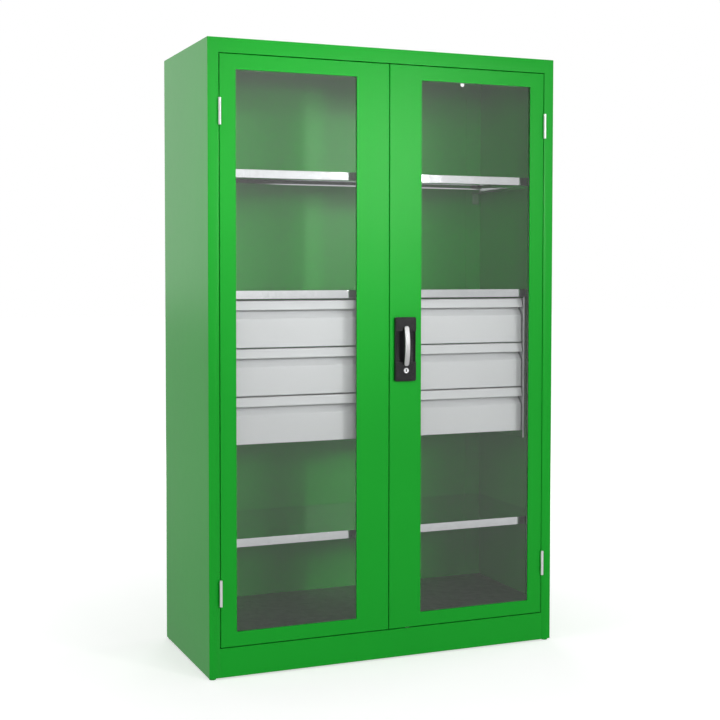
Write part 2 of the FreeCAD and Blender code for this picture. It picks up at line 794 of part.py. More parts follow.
def lock_holes():
    """Openings of the lock door: for the spindle, the lock and the two rods."""
    skin = ("-door_sheet", "2*door_sheet")
    return [
        drum("door_spindle_hole", "handle_place", skin, "spindle_height", "spindle_radius + stud_play"),
        drum("door_lock_hole", "handle_place", skin, LOCK, "lock_radius + fit_play"),
        rod_hole("door_upper_hole", -1, (f"{DOOR_TOP} - 2*door_sheet", f"{DOOR_TOP} + door_sheet")),
        rod_hole("door_lower_hole", 1, (f"{DOOR_LOW} - door_sheet", f"{DOOR_LOW} + 2*door_sheet")),
    ]


def escutcheon():
    """The handle plate: a rounded block with a finger recess whose side walls lie below its end blocks."""
    body = new_body("handle_escutcheon", x="handle_place")
    face = rectangle(("-plate_width/2", "plate_width/2"), (PLATE_LOW, f"{PLATE_LOW} + plate_height"))
    holes = [
        ("0", "spindle_height", "spindle_radius + pin_play"),
        ("0", LOCK, "lock_radius + fit_play"),
    ]
    extrude(body, "XZ_Plane", face, "-plate_proud", "0", holes)
    half = measure("plate_width/2")

    def corner(edge):
        span = edge.BoundBox
        straight = span.XLength < 0.01 and span.ZLength < 0.01
        return straight and abs(abs(span.Center.x) - half) < 0.01

    round_edges(body, "plate_round", corner)
    recess_z = (RECESS_LOW, f"{RECESS_LOW} + recess_height")
    step_x = ("-plate_width/2 - recess_wall", "plate_width/2 + recess_wall")
    carve(body, "XZ_Plane", rectangle(step_x, recess_z), "-plate_proud", "wall_step - plate_proud")
    recess_x = ("recess_wall - plate_width/2", "plate_width/2 - recess_wall")
    carve(body, "XZ_Plane", rectangle(recess_x, recess_z), "-plate_proud", "-recess_floor")
    keep("handle_escutcheon", body)


BOW_TOP = "(spindle_height + bow_width/2)"
BOW_LOW = f"({BOW_TOP} - bow_length)"
BOW_RADIUS = "((bow_length*bow_length/4 + bow_rise*bow_rise)/(2*bow_rise))"


def handle_bow():
    """The bowed bar of the handle with the boss that seats it on the spindle."""
    body = new_body("bow_bar", x="handle_place")
    sketch = body.newObject("Sketcher::SketchObject", "bow_side")
    support = next(item for item in body.Origin.OriginFeatures if item.Role == "YZ_Plane")
    sketch.AttachmentSupport = [(support, "")]
    sketch.MapMode = "FlatFace"
    centre = (f"{BOW_RADIUS} - handle_reach", f"({BOW_TOP} + {BOW_LOW})/2")
    middle = Vector(measure(centre[0]), measure(centre[1]), 0)
    ends = {}
    for radius in (BOW_RADIUS, f"{BOW_RADIUS} - bow_thickness"):
        length = measure(radius)
        half = measure("bow_length/2")
        reach = (length ** 2 - half ** 2) ** 0.5
        top = Vector(middle.x - reach, middle.y + half, 0)
        low = Vector(middle.x - reach, middle.y - half, 0)
        arc = Part.Arc(top, Vector(middle.x - length, middle.y, 0), low)
        index = sketch.addGeometry(arc)
        fix_point(sketch, index, 3, *centre)
        fix_radius(sketch, index, radius)
        for point, height in ((1, BOW_TOP), (2, BOW_LOW)):
            limit = Sketcher.Constraint("DistanceY", -1, 1, index, point, measure(height))
            number = sketch.addConstraint(limit)
            bind(sketch, f"Constraints[{number}]", height)
        ends[index] = (top, low)
    for point in (1, 2):
        line = sketch.addGeometry(Part.LineSegment(ends[0][point - 1], ends[1][point - 1]))
        sketch.addConstraint(Sketcher.Constraint("Coincident", line, 1, 0, point))
        sketch.addConstraint(Sketcher.Constraint("Coincident", line, 2, 1, point))
    bar = pad(body, sketch, "bow_width")
    bar.Midplane = True
    round_edges(body, "(bow_width - bow_end_flat)/2", lambda edge: edge.Length < 2 * measure("bow_thickness")
                and edge.BoundBox.XLength < 0.01)
    round_edges(body, "bow_edge", lambda edge: edge.BoundBox.ZLength > 2 * measure("bow_thickness"))
    boss_y = ("-plate_proud - bow_gap - bow_thickness", "-plate_proud - bow_gap")
    boss = drum("bow_boss", "handle_place", boss_y, "spindle_height", "boss_radius")
    keep("handle_bow", fuse("handle_bow", body, boss))


def drive_pin_place(side):
    """A drive pin's place at rest, half way up or down from the level of the spindle."""
    reach = f"{side}*drive_radius*sqrt(0.5)"
    return (f"handle_place + {reach}", f"spindle_height - {reach}")


def handle_spindle():
    """The spindle with its driving disc, and a pin on the disc for each rod."""
    disc_back = "(disc_front + disc_thickness)"
    shaft = drum("spindle_shaft", "handle_place", ("-plate_proud - bow_gap", disc_back),
                 "spindle_height", "spindle_radius")
    disc = drum("spindle_disc", "handle_place", ("disc_front", disc_back), "spindle_height", "disc_radius")
    pins = []
    for side in SIDES.values():
        x, z = drive_pin_place(side)
        pin_y = (disc_back, f"{disc_back} + drive_pin_length")
        pins.append(drum("spindle_pin", x, pin_y, z, "drive_pin_radius"))
    keep("handle_spindle", fuse("handle_spindle", shaft, disc, *pins))


def lock_case():
    """The case behind the door skin round the driving disc, open above and below for the rods."""
    x = ("handle_place - case_width/2", "handle_place + case_width/2")
    z = ("spindle_height - case_height/2", "spindle_height + case_height/2")
    shell = box("lock_case_shell", x, ("door_sheet", "case_back"), z)
    hollow_x = (f"{x[0]} + case_sheet", f"{x[1]} - case_sheet")
    hollow_y = ("door_sheet + case_sheet", "case_back - case_sheet")
    hollow = box("lock_case_hollow", hollow_x, hollow_y, (f"{z[0]} - case_sheet", f"{z[1]} + case_sheet"))
    hole = drum("lock_case_hole", "handle_place", ("0", "door_sheet + 2*case_sheet"), "spindle_height",
                "spindle_radius + stud_play")
    keep("lock_case", cut("lock_case", shell, hollow, hole))


def locking_rod(name, side, low_end, high_end):
    """A flat rod with a slotted yoke that a pin of the driving disc moves up and down."""
    depth = ("rod_front", ROD_BACK)
    pin_x, pin_z = drive_pin_place(side)
    x = rod_span(side)
    inner = f"handle_place + {side}*yoke_inner"
    yoke_x = (x[0], inner) if side < 0 else (inner, x[1])
    yoke = box(f"{name}_yoke", yoke_x, depth, (f"{pin_z} - yoke_height/2", f"{pin_z} + yoke_height/2"))
    bar = box(f"{name}_bar", x, depth, (low_end, high_end))
    far = f"handle_place + {side}*(drive_radius + drive_pin_radius + drive_play)"
    near = f"{pin_x} - {side}*(drive_pin_radius + drive_play)"
    slot_x = (far, near) if side < 0 else (near, far)
    slot_z = (f"{pin_z} - drive_pin_radius - drive_play", f"{pin_z} + drive_pin_radius + drive_play")
    slot_y = ("rod_front - rod_thickness", f"{ROD_BACK} + rod_thickness")
    slot = box(f"{name}_slot", slot_x, slot_y, slot_z)
    keep(name, cut(name, fuse(f"{name}_solid", yoke, bar), slot))


def locking_rods():
    """Both rods end just past the door's edge, in front of their holes in the header and the plinth."""
    locking_rod("upper_rod", -1, drive_pin_place(-1)[1], f"{DOOR_TOP} + rod_tip")
    locking_rod("lower_rod", 1, f"{DOOR_LOW} - rod_tip", drive_pin_place(1)[1])


def rod_guides():
    """Guide blocks on the door skin that the rods slide through, two for each rod."""
    guides = []
    places = ((-1, "spindle_height + guide_near_gap"), (-1, f"{DOOR_TOP} - guide_far_gap"),
              (1, "spindle_height - 2*guide_near_gap"), (1, f"{DOOR_LOW} + guide_far_gap"))
    for side, middle in places:
        rise = (f"{middle} - guide_height/2", f"{middle} + guide_height/2")
        block = box("guide_block", rod_span(side, "guide_margin"), ("door_sheet", "guide_back"), rise)
        way_rise = (f"{rise[0]} - guide_height", f"{rise[1]} + guide_height")
        guides.append(cut("rod_guide", block, rod_hole("guide_way", side, way_rise, "guide_play")))
    keep("rod_guides", group("rod_guides", guides))


def lock():
    """The lock cylinder, and the plug that the key turns with a cam on its inner end."""
    sleeve = drum("lock_sleeve", "handle_place", ("-lock_proud", "lock_back"), LOCK, "lock_radius")
    bore_y = ("-2*lock_proud", "2*lock_back")
    bore = drum("lock_bore", "handle_place", bore_y, LOCK, "plug_radius + pin_play")
    keep("lock_cylinder", cut("lock_cylinder", sleeve, bore))
    face = "(lock_proud + plug_proud)"
    plug_y = (f"-{face}", "lock_back + pin_play")
    plug = drum("plug_core", "handle_place", plug_y, LOCK, "plug_radius")
    cam_x = ("handle_place - cam_width/2", "handle_place + cam_width/2")
    cam_y = ("lock_back + pin_play", "lock_back + pin_play + cam_sheet")
    cam = box("plug_cam", cam_x, cam_y, (f"{LOCK} - cam_length", f"{LOCK} + plug_radius"))
    keyway = box("plug_keyway", ("handle_place - keyway_width/2", "handle_place + keyway_width/2"),
                 (f"-{face} - keyway_width", f"keyway_depth - {face}"),
                 (f"{LOCK} - keyway_height/2", f"{LOCK} + keyway_height/2"))
    keep("lock_plug", cut("lock_plug", fuse("lock_plug_solid", plug, cam), keyway))


def bank_plates(name, side):
    """The two hanging plates at the ends of a drawer bank, welded under the middle shelf."""
    top = "(middle_shelf_top - shelf_sheet)"
    depth = ("bank_front", "bank_front + bank_depth")
    plates = []
    for end, face, out, flange in (("outer", BANK_OUTER, 1, "bank_flange"),
                                   ("inner", "bank_inner", -1, "bank_centre_flange")):
        def away(by):
            return across(side, face, f"{face} + {by}") if out > 0 else across(side, f"{face} - {by}", face)

        web = box(f"{name}_{end}_web", away("bank_sheet"), depth, ("bank_bottom", top))
        edge = box(f"{name}_{end}_edge", away("bank_edge"), (depth[0], f"{depth[0]} + bank_sheet"),
                   ("bank_bottom", top))
        seat = box(f"{name}_{end}_seat", away(flange), depth, (f"{top} - bank_sheet", top))
        plates.append(fuse(f"{name}_{end}_plate", web, edge, seat))
    keep(f"{name}_bank_plates", group(f"{name}_bank_plates", plates))


def drawer_base(level):
    """The height of the lower edge of a drawer front."""
    return f"(drawer_top - front_height - {DRAWER_LEVELS.index(level)}*drawer_pitch)"


def channel(body, face, out, width, low, high, wall, near, far):
    """A channel section open away from the face that it lies on."""
    tip = f"{face} + {out}*{width}"
    inner = f"{face} + {out}*{wall}"
    profile = [
        (face, low),
        (face, high),
        (tip, high),
        (tip, f"{high} - {wall}"),
        (inner, f"{high} - {wall}"),
        (inner, f"{low} + {wall}"),
        (tip, f"{low} + {wall}"),
        (tip, low),
    ]
    extrude(body, "XZ_Plane", profile, near, far)


def bank_runners(name, side):
    """The fixed runners of a bank: a channel on each plate for every drawer."""
    runners = []
    near = f"({TRAY_FRONT} + runner_start)"
    for level in DRAWER_LEVELS:
        for end in SIDES.values():
            body = new_body(f"{name}_runner", x=spot(side, BANK_MIDDLE), z=drawer_base(level))
            top = "(runner_rise + runner_height)"
            channel(body, f"{end}*{BANK_HALF}", -end, "runner_width", "runner_rise", top, "runner_sheet",
                    near, f"{near} + runner_length")
            runners.append(body)
    keep(f"{name}_bank_runners", group(f"{name}_bank_runners", runners))


def drawer_front(name, place):
    """A folded front whose upper edge is a grip: a finger recess under a lip that leans forward."""
    lip_low = "(front_height - grip_height)"
    slope_low = f"({lip_low} - grip_slope)"
    outside = [
        ("front_depth", "0"),
        ("0", "0"),
        ("0", slope_low),
        ("grip_depth", lip_low),
        ("-grip_reach", lip_low),
        ("0", "front_height"),
        ("front_depth", "front_height"),
    ]
    inside = [
        ("front_depth", "front_height - front_tail"),
        ("front_depth - front_sheet", "front_height - front_tail"),
        ("front_depth - front_sheet", "front_height - front_sheet"),
        ("front_sheet", "front_height - front_sheet"),
        ("1.5*front_sheet - grip_reach", f"{lip_low} + front_sheet"),
        ("grip_depth + 2*front_sheet", f"{lip_low} + front_sheet"),
        ("front_sheet", slope_low),
        ("front_sheet", "front_sheet"),
        ("front_depth", "front_sheet"),
    ]
    half = f"({BANK_HALF} - drawer_end_gap)"
    body = new_body(f"{name}_front", **place, y="drawer_setback")
    extrude(body, "YZ_Plane", outside + inside, f"-{half}", half)
    extrude(body, "YZ_Plane", outside, f"-{half}", f"front_sheet - {half}")
    extrude(body, "YZ_Plane", outside, f"{half} - front_sheet", half)
    keep(f"{name}_front", body)


def drawer_tray(name, place):
    """The open tray behind a drawer front."""
    body = new_body(f"{name}_tray", **place)
    back = f"({TRAY_FRONT} + tray_depth)"
    plan = rectangle((f"-{TRAY_HALF}", TRAY_HALF), (TRAY_FRONT, back))
    extrude(body, "XY_Plane", plan, "tray_rise", "tray_rise + tray_height")
    inside = rectangle((f"tray_sheet - {TRAY_HALF}", f"{TRAY_HALF} - tray_sheet"),
                       (f"{TRAY_FRONT} + tray_sheet", f"{back} - tray_sheet"))
    carve(body, "XY_Plane", inside, "tray_rise + tray_sheet", "tray_rise + tray_height")
    keep(f"{name}_tray", body)


def drawer_slides(name, place):
    """The moving runners on a tray's sides, each inside a fixed runner."""
    low = "(runner_rise + runner_sheet + slide_play)"
    high = "(runner_rise + runner_height - runner_sheet - slide_play)"
    slides = []
    for end in SIDES.values():
        body = new_body(f"{name}_slide", **place)
        channel(body, f"{end}*{TRAY_HALF}", end, "slide_width", low, high, "runner_sheet", TRAY_FRONT,
                f"{TRAY_FRONT} + tray_depth")
        slides.append(body)
    keep(f"{name}_slides", group(f"{name}_slides", slides))


def drawers(name, side):
    for level in DRAWER_LEVELS:
        drawer = f"{name}_{level}_drawer"
        place = {"x": spot(side, BANK_MIDDLE), "z": drawer_base(level)}
        drawer_front(drawer, place)
        drawer_tray(drawer, place)
        drawer_slides(drawer, place)


def cabinet():
    header()
    plinth()
    roof()
    floor_panel()
    back_panel()
    feet()
    shelf_rails()
    for level in SHELF_TOPS:
        shelf(level)
    shelf_clips()
    hinges()
    for name, side in SIDES.items():
        side_panel(name, side)
        door_panel(name, side)
        window(name, side)
        bank_plates(name, side)
        bank_runners(name, side)
        drawers(name, side)
    ball_catches("left", SIDES["left"])
    escutcheon()
    handle_bow()
    handle_spindle()
    lock_case()
    locking_rods()
    rod_guides()
    lock()


def check():
    """Stops if any object failed or any sub-part has no sound shape."""
    doc.recompute()
    for thing in doc.Objects:
        if "Invalid" in thing.State or "Error" in thing.State:
            raise RuntimeError(f"{thing.Label} failed: {thing.State}")
    for thing in subparts:
        if thing.Shape.isNull() or not thing.Shape.isValid() or not thing.Shape.Solids:
            raise RuntimeError(f"{thing.Label} has no sound shape")


cabinet()
check()
os.makedirs("parts", exist_ok=True)
for subpart in subparts:
    subpart.Shape.exportStep(f"parts/{subpart.Label}.step")
print(f"{len(subparts)} sub-parts written")
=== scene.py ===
import json
import math

import bmesh
import bpy
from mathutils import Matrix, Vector


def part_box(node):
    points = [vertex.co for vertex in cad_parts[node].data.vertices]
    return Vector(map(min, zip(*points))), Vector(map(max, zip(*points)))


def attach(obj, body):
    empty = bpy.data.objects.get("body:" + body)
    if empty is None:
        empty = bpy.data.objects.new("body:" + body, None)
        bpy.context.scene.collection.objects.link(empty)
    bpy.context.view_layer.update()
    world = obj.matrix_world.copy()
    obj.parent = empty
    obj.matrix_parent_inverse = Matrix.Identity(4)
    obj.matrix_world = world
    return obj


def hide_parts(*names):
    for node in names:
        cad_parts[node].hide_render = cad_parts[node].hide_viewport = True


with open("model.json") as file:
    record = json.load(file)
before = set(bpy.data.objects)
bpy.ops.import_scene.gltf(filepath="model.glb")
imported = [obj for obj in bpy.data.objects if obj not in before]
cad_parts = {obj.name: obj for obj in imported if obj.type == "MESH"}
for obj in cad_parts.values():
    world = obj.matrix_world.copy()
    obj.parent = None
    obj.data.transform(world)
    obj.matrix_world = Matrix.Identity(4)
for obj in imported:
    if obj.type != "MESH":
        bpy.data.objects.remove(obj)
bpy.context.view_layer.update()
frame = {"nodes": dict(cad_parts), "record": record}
nodes = frame["nodes"]
slot_of = {part["node"]: part["material_slot"] for part in frame["record"]["subparts"]}
body_of = {node: body for body, group in frame["record"]["behaviour"]["bodies"].items() for node in group}


# Finishes, one for each material slot, and a rubbed one for the plates beside the drawers.

RUBBED_SHEEN = 0.3
RUBBED_ROUGHNESS = 0.4
PAINT_GLOSS_SPREAD = 0.006
PLASTIC_GLOSS_SPREAD = 0.06
PANE_MIRROR = 0.043
PANE_SLANT_POWER = 5.0


def add_node(tree, kind, values=(), **settings):
    """A node with its settings and the values of its named inputs."""
    made = tree.nodes.new(kind)
    for name, value in settings.items():
        setattr(made, name, value)
    for name, value in dict(values).items():
        made.inputs[name].default_value = value
    return made


def new_finish(name, **values):
    """A material with a plain surface shader, and the place on the piece that its patterns read."""
    material = bpy.data.materials.new(name)
    material.use_nodes = True
    tree = material.node_tree
    surface = tree.nodes["Principled BSDF"]
    for socket, value in values.items():
        surface.inputs[socket.replace("_", " ")].default_value = value
    place = add_node(tree, "ShaderNodeTexCoord").outputs["Object"]
    return material, tree, surface, place


def noise(tree, place, scale, detail=2.0):
    """A soft noise read at a place."""
    made = add_node(tree, "ShaderNodeTexNoise", {"Scale": scale, "Detail": detail})
    tree.links.new(place, made.inputs["Vector"])
    return made.outputs["Fac"]


def between(tree, share, low, high):
    """A number that runs from low to high as the share goes over the middle of a noise."""
    made = add_node(
        tree, "ShaderNodeMapRange", {"From Min": 0.3, "From Max": 0.7, "To Min": low, "To Max": high}
    )
    tree.links.new(share, made.inputs["Value"])
    return made.outputs["Result"]


def blend_colours(tree, share, first, second):
    """A colour between two, by a share."""
    made = add_node(tree, "ShaderNodeMix", data_type="RGBA")
    made.inputs["A"].default_value = (*first, 1)
    made.inputs["B"].default_value = (*second, 1)
    tree.links.new(share, made.inputs["Factor"])
    return made.outputs["Result"]


def relief(tree, surface, height, depth, strength):
    """Raises the surface a little by a height."""
    made = add_node(tree, "ShaderNodeBump", {"Distance": depth, "Strength": strength})
    tree.links.new(height, made.inputs["Height"])
    tree.links.new(made.outputs["Normal"], surface.inputs["Normal"])


def powder_coat(name, colour, shade, roughness, specular):
    """Baked powder paint: an even colour with a faint cloud, and a fine orange peel."""
    material, tree, surface, place = new_finish(name, Specular_IOR_Level=specular)
    cloud = between(tree, noise(tree, place, 2.5), 0, 1)
    tree.links.new(blend_colours(tree, cloud, colour, shade), surface.inputs["Base Color"])
    smooth, rough = roughness - PAINT_GLOSS_SPREAD, roughness + PAINT_GLOSS_SPREAD
    gloss = between(tree, noise(tree, place, 30), smooth, rough)
    tree.links.new(gloss, surface.inputs["Roughness"])
    relief(tree, surface, noise(tree, place, 420, 1), 0.0005, 0.03)
    return material


def galvanised(name, dull, bright, smooth, rough):
    """Zinc-coated sheet: a spangle of flat crystals that differ a little in tone and gloss."""
    material, tree, surface, place = new_finish(name, Metallic=1.0)
    spangle = add_node(tree, "ShaderNodeTexVoronoi", {"Scale": 55.0})
    tree.links.new(place, spangle.inputs["Vector"])
    tone = add_node(tree, "ShaderNodeSeparateColor")
    tree.links.new(spangle.outputs["Color"], tone.inputs["Color"])
    tree.links.new(blend_colours(tree, tone.outputs["Red"], dull, bright), surface.inputs["Base Color"])
    tree.links.new(between(tree, tone.outputs["Green"], smooth, rough), surface.inputs["Roughness"])
    relief(tree, surface, noise(tree, place, 260, 2), 0.0002, 0.04)
    return material


def rubbed_zinc(name, dull, bright, smooth, rough):
    """Zinc-coated sheet that is rubbed matt on its marked faces."""
    material = galvanised(name, dull, bright, smooth, rough)
    tree = material.node_tree
    surface = tree.nodes["Principled BSDF"]
    from_spangle = surface.inputs["Roughness"].links[0].from_socket
    matt = add_node(tree, "ShaderNodeAttribute", attribute_name="matt").outputs["Fac"]
    sheen = add_node(tree, "ShaderNodeMapRange", {"To Min": 1.0, "To Max": RUBBED_SHEEN})
    tree.links.new(matt, sheen.inputs["Value"])
    tree.links.new(sheen.outputs["Result"], surface.inputs["Metallic"])
    gloss = add_node(tree, "ShaderNodeMath", {1: RUBBED_ROUGHNESS}, operation="MULTIPLY_ADD")
    tree.links.new(matt, gloss.inputs[0])
    tree.links.new(from_spangle, gloss.inputs[2])
    tree.links.new(gloss.outputs["Value"], surface.inputs["Roughness"])
    return material


def brushed(name, dull, bright, smooth, rough, stretch):
    """Metal with a fine grain drawn along the piece."""
    material, tree, surface, place = new_finish(name, Metallic=1.0)
    drawn = add_node(tree, "ShaderNodeMapping", {"Scale": stretch})
    tree.links.new(place, drawn.inputs["Vector"])
    grain = noise(tree, drawn.outputs["Vector"], 900, 3)
    tree.links.new(blend_colours(tree, grain, dull, bright), surface.inputs["Base Color"])
    tree.links.new(between(tree, grain, smooth, rough), surface.inputs["Roughness"])
    relief(tree, surface, grain, 0.0001, 0.08)
    return material


def plate_with_keyway_shade(name, dull, bright, smooth, rough):
    """Bright plate with a fine grain, painted near-black inside the keyway as the shade that falls there.
    """
    material = brushed(name, dull, bright, smooth, rough, (1, 1, 1))
    tree = material.node_tree
    colour = tree.nodes["Principled BSDF"].inputs["Base Color"]
    inside = add_node(tree, "ShaderNodeAttribute", attribute_name="keyway").outputs["Fac"]
    painted_keyway_shade = add_node(tree, "ShaderNodeMix", data_type="RGBA")
    # Near-black colour: painted shade inside the keyway.
    painted_keyway_shade.inputs["B"].default_value = (0.006, 0.006, 0.007, 1)
    tree.links.new(inside, painted_keyway_shade.inputs["Factor"])
    tree.links.new(colour.links[0].from_socket, painted_keyway_shade.inputs["A"])
    tree.links.new(painted_keyway_shade.outputs["Result"], colour)
    return material


def moulded(name, colour, pale, roughness, grain):
    """Moulded plastic with a fine spark-eroded grain."""
    material, tree, surface, place = new_finish(name, Specular_IOR_Level=0.3)
    pores = noise(tree, place, grain, 4)
    tree.links.new(blend_colours(tree, pores, colour, pale), surface.inputs["Base Color"])
    smooth, rough = roughness - PLASTIC_GLOSS_SPREAD, roughness + PLASTIC_GLOSS_SPREAD
    tree.links.new(between(tree, pores, smooth, rough), surface.inputs["Roughness"])
    relief(tree, surface, pores, 0.0004, 0.35)
    return material


def clear_pane(name):
    """Clear acrylic: light goes straight through, and the surface mirrors what is in front of it."""
    material, tree, surface, place = new_finish(name)
    gloss = add_node(tree, "ShaderNodeBsdfGlossy", {"Color": (1, 1, 1, 1), "Roughness": 0.04})
    clear = add_node(tree, "ShaderNodeBsdfTransparent")
    haze = between(tree, noise(tree, place, 3), 0, 1)
    tint = blend_colours(tree, haze, (0.986, 0.99, 0.987), (0.992, 0.995, 0.992))
    tree.links.new(tint, clear.inputs["Color"])
    facing = add_node(tree, "ShaderNodeLayerWeight", {"Blend": 0.5}).outputs["Facing"]
    slant = add_node(tree, "ShaderNodeMath", {1: PANE_SLANT_POWER}, operation="POWER")
    tree.links.new(facing, slant.inputs[0])
    mirror = add_node(tree, "ShaderNodeMapRange", {"To Min": PANE_MIRROR, "To Max": 1.0})
    tree.links.new(slant.outputs["Value"], mirror.inputs["Value"])
    mixed = add_node(tree, "ShaderNodeMixShader")
    tree.links.new(mirror.outputs["Result"], mixed.inputs["Fac"])
    tree.links.new(clear.outputs["BSDF"], mixed.inputs[1])
    tree.links.new(gloss.outputs["BSDF"], mixed.inputs[2])
    tree.links.new(mixed.outputs["Shader"], tree.nodes["Material Output"].inputs["Surface"])
    tree.nodes.remove(surface)
    return material


SHEET_ZINC = ((0.65, 0.665, 0.68), (0.69, 0.70, 0.72), 0.07, 0.10)
FINISHES = {
    "green_paint": powder_coat(
        "green_powder_coat", (0.0026, 0.312, 0.0162), (0.0022, 0.298, 0.015), 0.34, 0.21
    ),
    "grey_paint": powder_coat("grey_powder_coat", (0.565, 0.575, 0.585), (0.55, 0.56, 0.57), 0.42, 0.35),
    "galvanised_sheet": galvanised("galvanised_sheet", *SHEET_ZINC),
    "floor_zinc": galvanised("dull_floor_zinc", (0.30, 0.31, 0.305), (0.35, 0.36, 0.355), 0.42, 0.5),
    "clear_pane": clear_pane("clear_acrylic"),
    "black_plastic": moulded(
        "black_grained_plastic", (0.004, 0.004, 0.0045), (0.010, 0.010, 0.011), 0.28, 1500
    ),
    "handle_metal": brushed(
        "satin_handle_metal", (0.50, 0.50, 0.50), (0.62, 0.62, 0.62), 0.42, 0.52, (1, 1, 0.05)
    ),
    "lock_plate": plate_with_keyway_shade("bright_lock_plate", (0.86, 0.86, 0.87), (0.94, 0.94, 0.95), 0.2, 0.3),
    "hinge_steel": brushed(
        "bright_hinge_zinc", (0.80, 0.79, 0.81), (0.9, 0.89, 0.91), 0.28, 0.40, (1, 1, 0.1)
    ),
    "plated_steel": brushed(
        "zinc_plated_steel", (0.50, 0.51, 0.52), (0.66, 0.67, 0.68), 0.25, 0.38, (1, 1, 0.08)
    ),
}


def coat(thing, slot):
    """Gives a piece the finish of a material slot, and nothing else."""
    thing.data.materials.clear()
    thing.data.materials.append(FINISHES[slot])


# Pieces: folded sheet gets its bend radius, and solid parts a small broken edge. Lengths are in metres.

SAME_PLACE = 1e-6
FLAT_ANGLE = math.radians(1)
BULGE_ANGLE = math.radians(35)
PIECE_SHARP_ANGLE = math.radians(50)
SMALL_SHARP_ANGLE = math.radians(32)
WIDER_THAN_SHEET = 1.6
BEND_SHARE = 0.8
GRIP_BEND_SHARE = 2.2
LEVEL_FOLD_LENGTH = 0.2
DOOR_GAP = 0.003
SEAM_REACH = 0.0004
KEYWAY_DEPTH = 0.0007
KEYWAY_REACH = 0.0052
LOOKS_FORWARD = -0.6


def merged_copy(node):
    """The node's mesh as one joined skin."""
    shell = bmesh.new()
    shell.from_mesh(nodes[node].data)
    bmesh.ops.remove_doubles(shell, verts=shell.verts, dist=SAME_PLACE)
    shell.faces.index_update()
    return shell


def flat_widths(shell):
    """The mean width of the flat that each face lies in, by face number."""
    widths = {}
    for start in shell.faces:
        if start.index in widths:
            continue
        flat = [start]
        widths[start.index] = 0
        rim = 0
        area = 0
        for face in flat:
            area += face.calc_area()
            for edge in face.edges:
                level = len(edge.link_faces) == 2 and edge.calc_face_angle() < FLAT_ANGLE
                if not level:
                    rim += edge.calc_length()
                    continue
                for other in edge.link_faces:
                    if other.index not in widths:
                        widths[other.index] = 0
                        flat.append(other)
        for face in flat:
            widths[face.index] = 2 * area / rim
    return widths


def bulging(edge):
    """True for an edge that points outward."""
    return len(edge.link_faces) == 2 and edge.calc_face_angle_signed() > BULGE_ANGLE


def butt_joint(place):
    """True where the header meets a stile, whose welded seam is ground flush."""
    low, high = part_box("right_door_panel")
    return abs(abs(place.x) - (high.x + DOOR_GAP)) < SEAM_REACH and place.z > low.z


def outer_folds(shell, sheet):
    """The outer edges of folds: bulging, and between two flats wider than the sheet is thick."""
    widths = flat_widths(shell)
    found = []
    for edge in filter(bulging, shell.edges):
        middle = (edge.verts[0].co + edge.verts[1].co) / 2
        if butt_joint(middle):
            continue
        if all(widths[face.index] > WIDER_THAN_SHEET * sheet for face in edge.link_faces):
            found.append(edge)
    return found


def level_folds(shell, sheet):
    """The outer edges of the folds that run across the front, such as a drawer's grip."""
    folds = outer_folds(shell, sheet)
    return [edge for edge in folds if abs(edge.verts[0].co.x - edge.verts[1].co.x) > LEVEL_FOLD_LENGTH]


def sharp_edges(shell, sheet):
    """All bulging edges of a solid piece, whatever its sheet."""
    return list(filter(bulging, shell.edges))


def finished(shell, name, node):
    """A dressed piece that stands for a node, with soft shading across its rounded edges."""
    mesh = bpy.data.meshes.new(name)
    shell.to_mesh(mesh)
    shell.free()
    for face in mesh.polygons:
        face.use_smooth = True
    mesh.set_sharp_from_angle(angle=PIECE_SHARP_ANGLE)
    piece = bpy.data.objects.new(name, mesh)
    bpy.context.scene.collection.objects.link(piece)
    even = piece.modifiers.new("even_faces", "WEIGHTED_NORMAL")
    even.keep_sharp = True
    coat(piece, slot_of[node])
    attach(piece, body_of[node])
    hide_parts(node)


def bevelled(shell, edges, radius):
    """Rounds the given edges of a skin."""
    bmesh.ops.bevel(
        shell, geom=edges, offset=radius, segments=4, profile=0.5, affect="EDGES", clamp_overlap=False
    )
    shell.faces.index_update()


def rounded(node, sheet, steps):
    """Dresses a node with a copy whose edges are rounded, each step with its pick of edges and radius."""
    shell = merged_copy(node)
    for pick, radius in steps:
        bevelled(shell, pick(shell, sheet), radius)
    finished(shell, f"{node}_rounded", node)


# Thickness of each folded node's sheet.
FOLDED = {
    "left_side_panel": 0.0015,
    "right_side_panel": 0.0015,
    "front_header": 0.0015,
    "plinth_panel": 0.0015,
    "roof_panel": 0.0015,
    "floor_panel": 0.0015,
    "left_door_panel": 0.0012,
    "right_door_panel": 0.0012,
    "upper_shelf": 0.0012,
    "middle_shelf": 0.0012,
    "lower_shelf": 0.0012,
}
for node in nodes:
    if node.endswith("drawer_front"):
        FOLDED[node] = 0.0012
    if node.endswith("_tray"):
        FOLDED[node] = 0.0010
    if node.endswith(("_slides", "_bank_runners")):
        FOLDED[node] = 0.0012
    if node.endswith(("_bank_plates", "_retainer", "lock_case")):
        FOLDED[node] = 0.0015
# Radius of each solid node's broken edges.
SOLID = {
    "levelling_feet": 0.0008,
    "shelf_clips": 0.0005,
    "rod_guides": 0.0008,
    "upper_rod": 0.0004,
    "lower_rod": 0.0004,
    "handle_escutcheon": 0.0012,
    "hinge_frame_leaves": 0.0004,
    "left_hinge_leaves": 0.0004,
    "right_hinge_leaves": 0.0004,
    "hinge_pins": 0.0006,
    "lock_cylinder": 0.0008,
    "lock_plug": 0.0003,
    "handle_bow": 0.0004,
}

for node, sheet in FOLDED.items():
    steps = [(outer_folds, BEND_SHARE * sheet)]
    if node.endswith("drawer_front"):
        steps.insert(0, (level_folds, GRIP_BEND_SHARE * sheet))
    rounded(node, sheet, steps)
for node, radius in SOLID.items():
    rounded(node, radius, [(sharp_edges, radius)])


